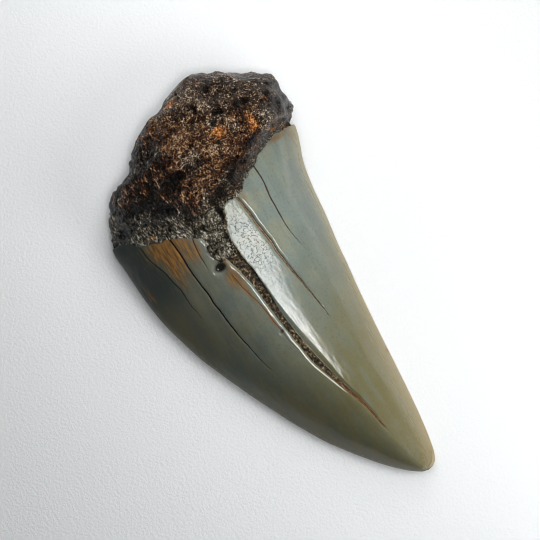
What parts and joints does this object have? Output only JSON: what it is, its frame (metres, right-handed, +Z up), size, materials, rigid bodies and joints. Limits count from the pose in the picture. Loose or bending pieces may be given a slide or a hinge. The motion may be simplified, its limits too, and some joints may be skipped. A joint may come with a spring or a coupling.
{
  "type": "fossil shark tooth",
  "caption": "Fossil shark tooth with a curved, smooth-edged grey crown, cracked along its length, and a rough brown root; lies on its flat face as a display specimen.",
  "frame": {"origin": "on the surface that the tooth rests on, below the centre of its bounding box", "axes": "+Y along the tooth from the tip to the root, +X to the right as seen from above with the root away from the viewer, towards the straighter cutting edge, +Z up, out of the domed face"},
  "size_m": [0.0289, 0.0578, 0.0112],
  "materials": {
    "fossil_tooth": "glossy grey-green fossil enamel with rusty cracks on the crown; rough, porous, dark brown mineralised root"
  },
  "bodies": {
    "root": {"tooth": "fossil_tooth"}
  },
  "joints": []
}
